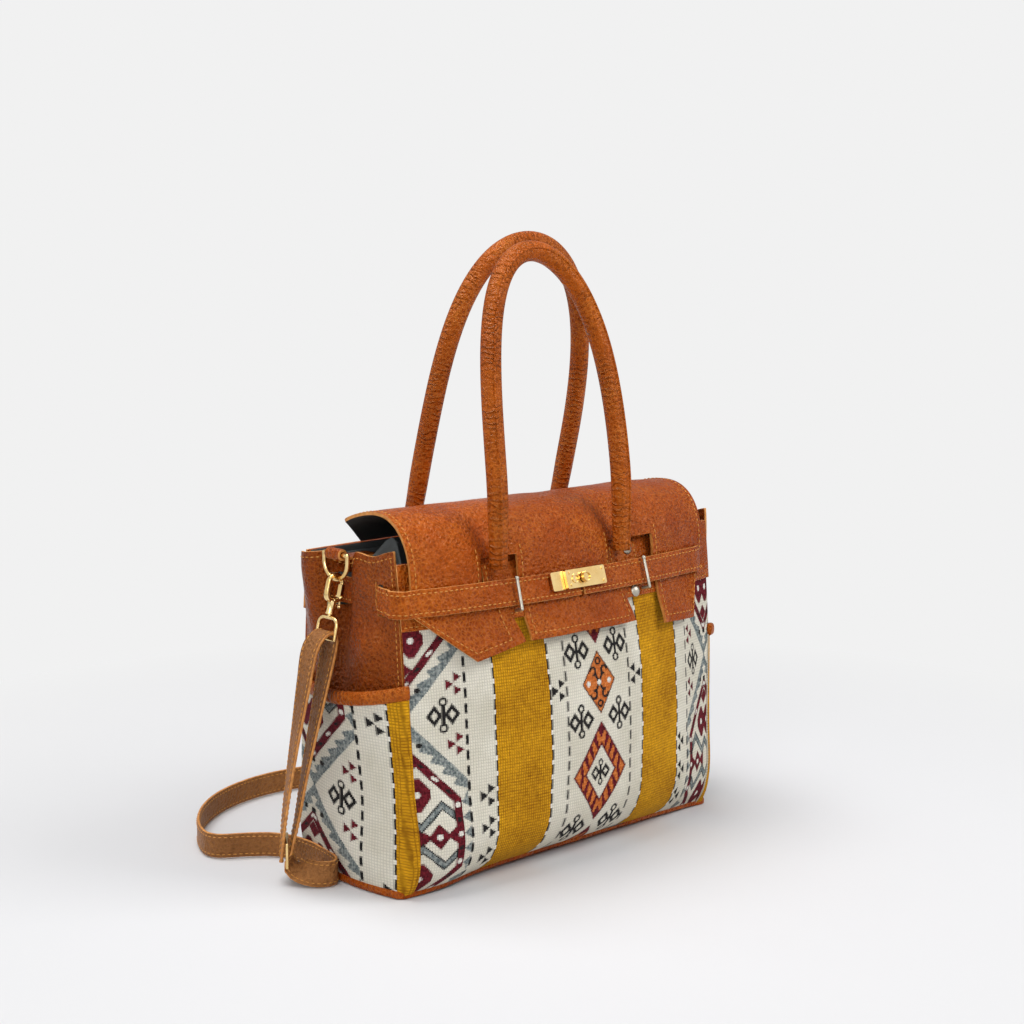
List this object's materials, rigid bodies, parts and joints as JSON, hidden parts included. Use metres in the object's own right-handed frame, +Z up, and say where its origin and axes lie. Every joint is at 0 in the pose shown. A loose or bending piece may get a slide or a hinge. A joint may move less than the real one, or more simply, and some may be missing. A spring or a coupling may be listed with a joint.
{
  "type": "tote bag",
  "caption": "Standing tote bag with a woven cloth body, leather flap over the mouth, belt with a turn lock, rolled handles, side pockets and a clip-on shoulder strap.",
  "frame": {"origin": "middle of the base, on the surface that the bag stands on", "axes": "+X to the bag's right as seen from its front, -Y out of the front with the lock, +Z up"},
  "size_m": [0.4499, 0.322, 0.506],
  "materials": {
    "tan_leather": "glossy pebbled cowhide",
    "base_leather": "glossy pebbled cowhide, darker",
    "strap_leather": "satin strap leather",
    "woven_cloth": "coarse flat weave with woven motifs",
    "lining_cloth": "plain matt weave",
    "pale_brass": "polished pale gold plating",
    "nickel": "polished nickel plating"
  },
  "bodies": {
    "bag": {"base_panel": "base_leather", "front_panel": "woven_cloth", "back_panel": "woven_cloth", "front_yoke": "tan_leather", "back_yoke": "tan_leather", "left_gusset": "tan_leather", "right_gusset": "tan_leather", "left_pocket": "woven_cloth", "right_pocket": "woven_cloth", "left_pocket_binding": "tan_leather", "right_pocket_binding": "tan_leather", "lining": "lining_cloth", "flap": "tan_leather", "left_belt": "tan_leather", "right_belt": "tan_leather", "lock_base_plate": "pale_brass", "lock_hasp_plate": "pale_brass", "lock_rivets": "pale_brass", "lock_grommet": "pale_brass", "left_keeper": "nickel", "right_keeper": "nickel", "front_handle": "tan_leather", "back_handle": "tan_leather", "front_left_tab": "tan_leather", "front_right_tab": "tan_leather", "back_left_tab": "tan_leather", "back_right_tab": "tan_leather", "tab_studs": "nickel", "left_ring_tab": "tan_leather", "right_ring_tab": "tan_leather", "shoulder_strap": "strap_leather", "strap_slider": "pale_brass"},
    "lock_knob": {"turn_knob": "pale_brass"},
    "left_ring": {"left_d_ring": "pale_brass", "left_swivel_eye": "pale_brass"},
    "left_hook_body": {"left_hook": "pale_brass"},
    "left_gate": {"left_hook_gate": "pale_brass"},
    "right_ring": {"right_d_ring": "pale_brass", "right_swivel_eye": "pale_brass"},
    "right_hook_body": {"right_hook": "pale_brass"},
    "right_gate": {"right_hook_gate": "pale_brass"}
  },
  "joints": [
    {"name": "lock_turn", "type": "hinge", "parent": "bag", "child": "lock_knob", "pos_m": [-0.00707, -0.08532, 0.23234], "axis": [-0.0069, -0.9509, 0.3093], "range_deg": [0, 90]},
    {"name": "left_ring_swing", "type": "hinge", "parent": "bag", "child": "left_ring", "pos_m": [-0.179, 0.008, 0.25923], "axis": [0, 1, 0], "range_deg": [0, 50], "deforming": ["shoulder_strap"]},
    {"name": "left_hook_swivel", "type": "hinge", "parent": "left_ring", "child": "left_hook_body", "pos_m": [-0.179, 0.008, 0.23943], "axis": [0.2419, 0, 0.9703], "range_deg": [-15, 15]},
    {"name": "left_gate_pivot", "type": "hinge", "parent": "left_hook_body", "child": "left_gate", "pos_m": [-0.17584, 0.008, 0.22565], "axis": [0, -1, 0], "range_deg": [0, 22], "stiffness_Nm_per_rad": 0.02, "springref_deg": -11.46},
    {"name": "right_ring_swing", "type": "hinge", "parent": "bag", "child": "right_ring", "pos_m": [0.179, 0.008, 0.25923], "axis": [0, -1, 0], "range_deg": [0, 50], "deforming": ["shoulder_strap"]},
    {"name": "right_hook_swivel", "type": "hinge", "parent": "right_ring", "child": "right_hook_body", "pos_m": [0.179, 0.008, 0.23943], "axis": [-0.2419, 0, 0.9703], "range_deg": [-15, 15]},
    {"name": "right_gate_pivot", "type": "hinge", "parent": "right_hook_body", "child": "right_gate", "pos_m": [0.17584, 0.008, 0.22565], "axis": [0, 1, 0], "range_deg": [0, 22], "stiffness_Nm_per_rad": 0.02, "springref_deg": -11.46}
  ]
}
